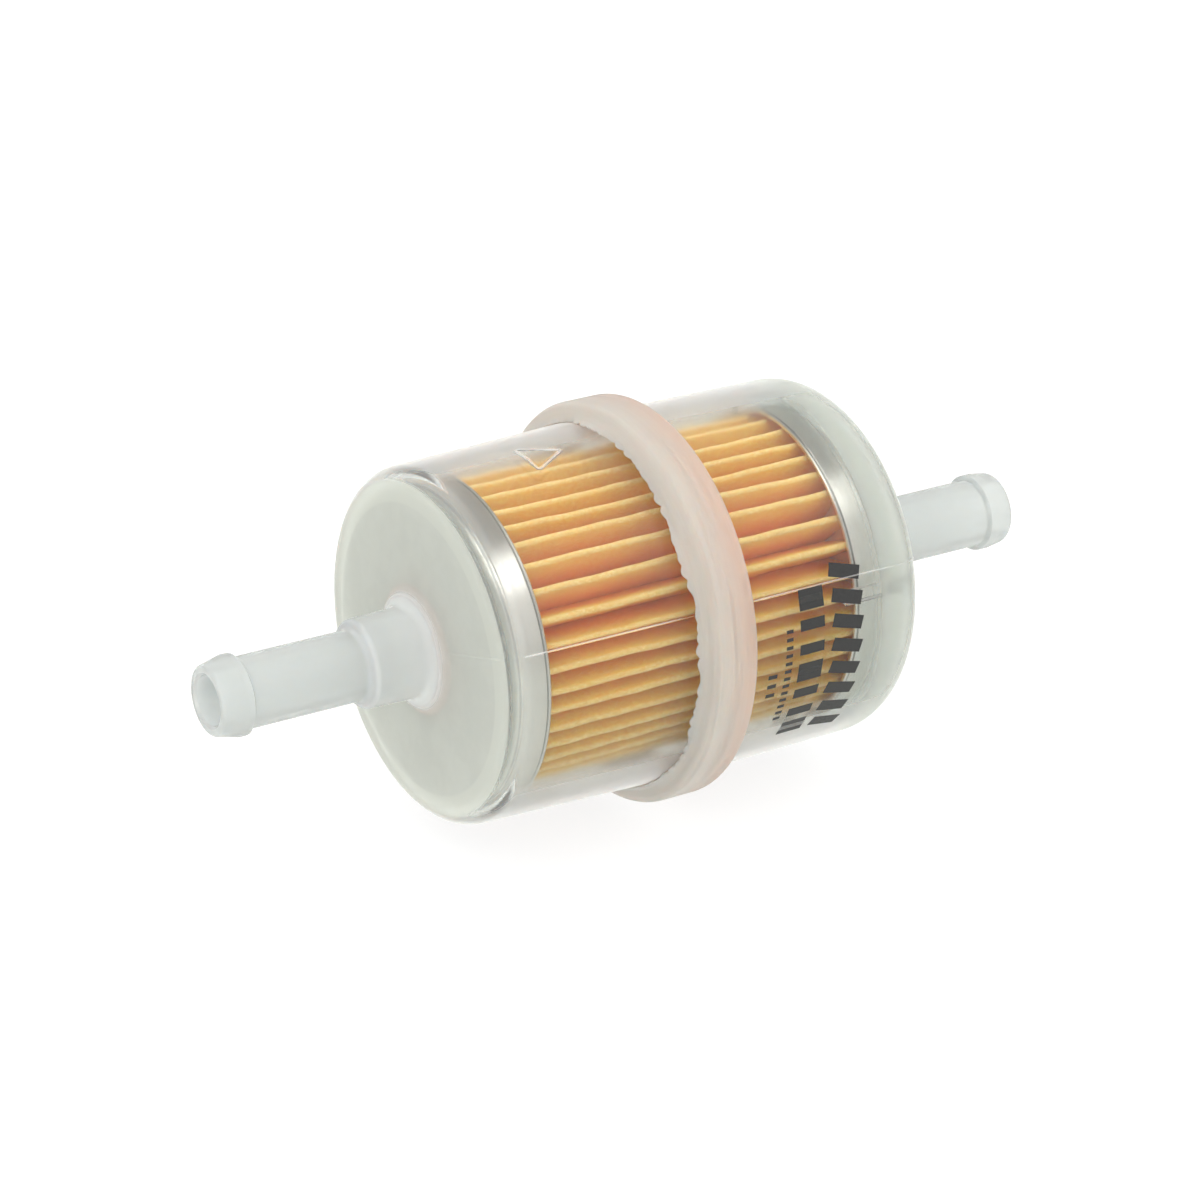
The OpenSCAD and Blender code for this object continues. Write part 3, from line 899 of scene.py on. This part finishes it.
def filter_paper():
    """Resin-soaked paper: orange flanks, a deeper orange inside the folds that is painted shade, and
    paler crests.
    """
    look = Look("filter_paper", Roughness=0.85, Specular_IOR_Level=0.12, Subsurface_Weight=1.0,
                Subsurface_Scale=0.001, Subsurface_Radius=(1.0, 0.8, 0.6))
    fibre = look.step(look.noise(2.4, detail=5, rough=0.7, stretch=(1, 2, 2)), 0.35, 0.65)
    blotch = look.maths("MULTIPLY", look.noise(0.5), 0.2)
    mottle = look.step(look.noise(1.5, detail=4, rough=0.7), 0.45, 0.65, 0.0, 0.3)
    # Deeper orange towards the folds' depths is painted shade; the crests are paler.
    on_flank = look.step(look.r, 13.5, 17.1)
    on_crest = look.step(look.r, PLEAT_R - 0.5, PLEAT_R - 0.1)
    painted_fold_shade = look.mix(fibre, colour(251, 184, 76), colour(255, 210, 106))
    flank = look.mix(fibre, colour(251, 190, 80), colour(255, 213, 110))
    crest = look.mix(fibre, colour(234, 192, 116), colour(248, 216, 152))
    base = look.mix(on_crest, look.mix(on_flank, painted_fold_shade, flank), crest)
    base = look.mix(blotch, base, colour(240, 156, 84))
    look.set("Base Color", look.mix(mottle, base, colour(248, 176, 96)))
    look.bump(look.noise(3.6, detail=6, rough=0.8), 0.09)
    return look.material


def resin(name, low, high, rough):
    """Cast or moulded filler: slightly uneven in colour and gloss."""
    look = Look(name, Subsurface_Weight=0.2, Subsurface_Scale=0.001, Subsurface_Radius=(1, 0.7, 0.5))
    cloud = look.noise(0.8, detail=4, rough=0.6)
    look.set("Base Color", look.mix(cloud, low, high))
    look.set("Roughness", look.step(cloud, 0.3, 0.7, rough - 0.12, rough + 0.12))
    look.bump(look.noise(2.5), 0.03)
    return look.material


def black_ink():
    """Black print, a little worn and uneven in gloss."""
    look = Look("black_ink")
    worn = look.noise(4.0, detail=4, rough=0.6)
    look.set("Base Color", look.mix(worn, colour(24, 24, 26), colour(58, 57, 58)))
    look.set("Roughness", look.step(worn, 0.3, 0.7, 0.3, 0.55))
    look.bump(worn, 0.01)
    return look.material


# ---- Studio ----

ROOM = colour(223, 226, 220)             # the room as it is seen through the clear parts
ROOM_GLOSS = (0.74, 0.76, 0.73, 1)       # and as shiny parts reflect it
KEY = (0.0, -0.7, 0.7)                   # most light comes from this side
KEY_START, KEY_FULL = -0.7, 1.0          # cosines to that direction
WHITE = (1, 1, 1, 1)

# Light on surfaces, away from that side and towards it
LIGHT = ((1.45, 1.45, 1.42, 1), (1.86, 1.84, 1.79, 1))
LIGHT_INSIDE = ((1.7, 1.7, 1.68, 1), (2.15, 2.13, 2.08, 1))

# Patches in what is reflected: direction, cosines where it starts and is full, brightness
OUTSIDE_GLOSS = [
    ((0.5, -0.5, 0.7), 0.88, 0.98, (1.2, 1.18, 1.15, 1))]
INSIDE_TONE = (0.47, 0.47, 0.46, 1)
INSIDE_GLOSS = [
    ((0.5, -0.7, 0.5), 0.8, 1.0, (0.88, 0.87, 0.84, 1)),
    ((0, 0.35, 1), 0.1, 1.0, (0.28, 0.28, 0.275, 1)),
    ((0.38, -0.46, 0.8), 0.965, 0.997, (4.2, 4.15, 4.0, 1)),
    ((-0.43, -0.2, 0.88), 0.92, 0.97, (2.8, 2.8, 2.7, 1))]

CAMERA_AZIMUTH = -33.12
CAMERA_ELEVATION = 22.29
CAMERA_DISTANCE = 0.442                  # metres
CAMERA_LENS = 116.64
CAMERA_SENSOR = 36
CAMERA_CLIP = 0.01
CAMERA_SHIFT = (-0.01867, -0.00117)      # the object sits a little off the picture's centre

FLOOR_HALF_W = 1.5                       # metres
FLOOR_DROP = 0.00005


def camera():
    """The camera stands in front of the inlet end, a little above the filter."""
    azimuth, elevation = math.radians(CAMERA_AZIMUTH), math.radians(CAMERA_ELEVATION)
    back = Vector((math.sin(azimuth) * math.cos(elevation), -math.cos(azimuth) * math.cos(elevation),
                   math.sin(elevation)))
    right = Vector((math.cos(azimuth), math.sin(azimuth), 0))
    up = back.cross(right)
    data = bpy.data.cameras.new("camera")
    data.lens = CAMERA_LENS
    data.sensor_width = CAMERA_SENSOR
    data.shift_x, data.shift_y = CAMERA_SHIFT
    data.clip_start = CAMERA_CLIP
    eye = bpy.data.objects.new("camera", data)
    turn = Matrix((right, up, back)).transposed().to_4x4()
    eye.matrix_world = Matrix.Translation(back * CAMERA_DISTANCE) @ turn
    bpy.context.scene.collection.objects.link(eye)
    bpy.context.scene.camera = eye


def studio_world():
    """A plain room: white to the camera, pale grey-green behind clear parts, and softly lit all round.

    What shiny parts reflect has a broad bright panel, above and to the right of the camera. The
    metal inside the shells has a room of more contrast to reflect. Surfaces inside the shells get
    more light, which makes up for what the shells take away."""
    world = bpy.data.worlds.new("studio")
    bpy.context.scene.world = world
    world.use_nodes = True
    nodes = Nodes(world.node_tree)
    place = nodes.new("TexCoord").outputs["Generated"]
    path = nodes.new("LightPath").outputs

    def fade(direction, low, high):
        """0 to 1 as the direction of view comes nearer to this one, between two cosines."""
        dot = nodes.new("VectorMath")
        dot.operation = "DOT_PRODUCT"
        nodes.put(dot.inputs[0], place)
        nodes.put(dot.inputs[1], Vector(direction).normalized())
        return nodes.step(dot.outputs["Value"], low, high)

    def past(name, least):
        """1 where the ray has already been scattered or let through more often than this."""
        return nodes.maths("GREATER_THAN", path[name], least)

    def patched(tone, patches):
        """An even tone with patches on it, each over the ones before."""
        for direction, low, high, brightness in patches:
            tone = nodes.mix(fade(direction, low, high), tone, brightness)
        return tone

    reflected = nodes.mix(past("Transmission Depth", 2.5), patched(ROOM_GLOSS, OUTSIDE_GLOSS),
                          patched(INSIDE_TONE, INSIDE_GLOSS))
    reflected = nodes.mix(past("Glossy Depth", 1.5), reflected, ROOM_GLOSS)
    key = fade(KEY, KEY_START, KEY_FULL)
    light = nodes.mix(past("Transmission Depth", 1.5), nodes.mix(key, *LIGHT),
                      nodes.mix(key, *LIGHT_INSIDE))
    seen = nodes.mix(past("Glossy Depth", 0.5), ROOM, reflected)
    seen = nodes.mix(past("Diffuse Depth", 0.5), seen, light)
    seen = nodes.mix(path["Is Camera Ray"], seen, WHITE)
    nodes.put(world.node_tree.nodes["Background"].inputs["Color"], seen)


def floor_material():
    """Near white with a soft shadow to the camera, and part of the plain room to every other ray."""
    material = bpy.data.materials.new("floor")
    material.use_nodes = True
    nodes = Nodes(material.node_tree)
    shader = material.node_tree.nodes["Principled BSDF"]
    for socket, value in (("Roughness", 0.9), ("Specular IOR Level", 0.0), ("Base Color", grey(0.2)),
                          ("Emission Color", grey(0.85)), ("Emission Strength", 1.0)):
        nodes.put(shader.inputs[socket], value)
    path = nodes.new("LightPath").outputs
    plain = nodes.new("Emission")
    nodes.put(plain.inputs["Color"], nodes.mix(path["Is Diffuse Ray"], ROOM, (1.8, 1.78, 1.72, 1)))
    share = nodes.new("MixShader")
    for socket, value in zip(share.inputs, (path["Is Camera Ray"], plain.outputs[0], shader.outputs[0])):
        nodes.put(socket, value)
    nodes.put(material.node_tree.nodes["Material Output"].inputs["Surface"], share.outputs[0])
    return material


def floor():
    """A pale floor just under the collar."""
    mesh = bpy.data.meshes.new("floor")
    half, z = FLOOR_HALF_W, cad_box[0][2] - FLOOR_DROP
    mesh.from_pydata([(-half, -half, z), (half, -half, z), (half, half, z), (-half, half, z)], [],
                     [(0, 1, 2, 3)])
    mesh.materials.append(floor_material())
    plane = bpy.data.objects.new("floor", mesh)
    bpy.context.scene.collection.objects.link(plane)


# ---- The filter ----

def place(piece, slot=None, *nodes):
    """Puts a piece on the filter's one body, in place of CAD nodes where it stands for any."""
    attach(piece, "root")
    if nodes:
        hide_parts(*nodes)


def recolour(node, material):
    """Gives a CAD node that stays its finished material."""
    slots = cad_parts[node].data.materials
    slots.clear()
    slots.append(material)


bpy.context.scene.view_settings.view_transform = "Standard"
light_paths = bpy.context.scene.cycles       # long enough for both walls and for the milky parts
light_paths.max_bounces = 24
light_paths.transmission_bounces = 24
light_paths.glossy_bounces = 24
light_paths.diffuse_bounces = 16
camera()
studio_world()
floor()

metal = pressed_metal("pressed_metal")
potting = resin("potting", colour(196, 172, 126), colour(222, 200, 156), 0.45)

place(inlet_housing(clear_nylon("clear_nylon_inlet", INLET)), "clear_nylon_inlet", "inlet_housing")
place(outlet_housing(clear_nylon("clear_nylon_outlet", OUTLET)), "clear_nylon_outlet", "outlet_housing")
place(joint_collar(milky_nylon()), "milky_nylon", "joint_collar")
place(pressed_cap("inlet_cap", INLET_CAP_X, 1, CAP_HOLE_R, metal), "pressed_metal", "inlet_end_cap")
place(pressed_cap("outlet_cap", OUTLET_CAP_X, -1, 0, metal), "pressed_metal", "outlet_end_cap")
place(pleated_paper(filter_paper()), "filter_paper", "pleated_paper")
place(ink_marks(marking(), black_ink()))
recolour("paper_seam_clip", pressed_metal("clip_metal", 0.66))
recolour("inlet_potting", potting)
recolour("outlet_potting", potting)
recolour("inlet_seal", resin("seal_rubber", colour(228, 204, 194), colour(240, 222, 214), 0.6))
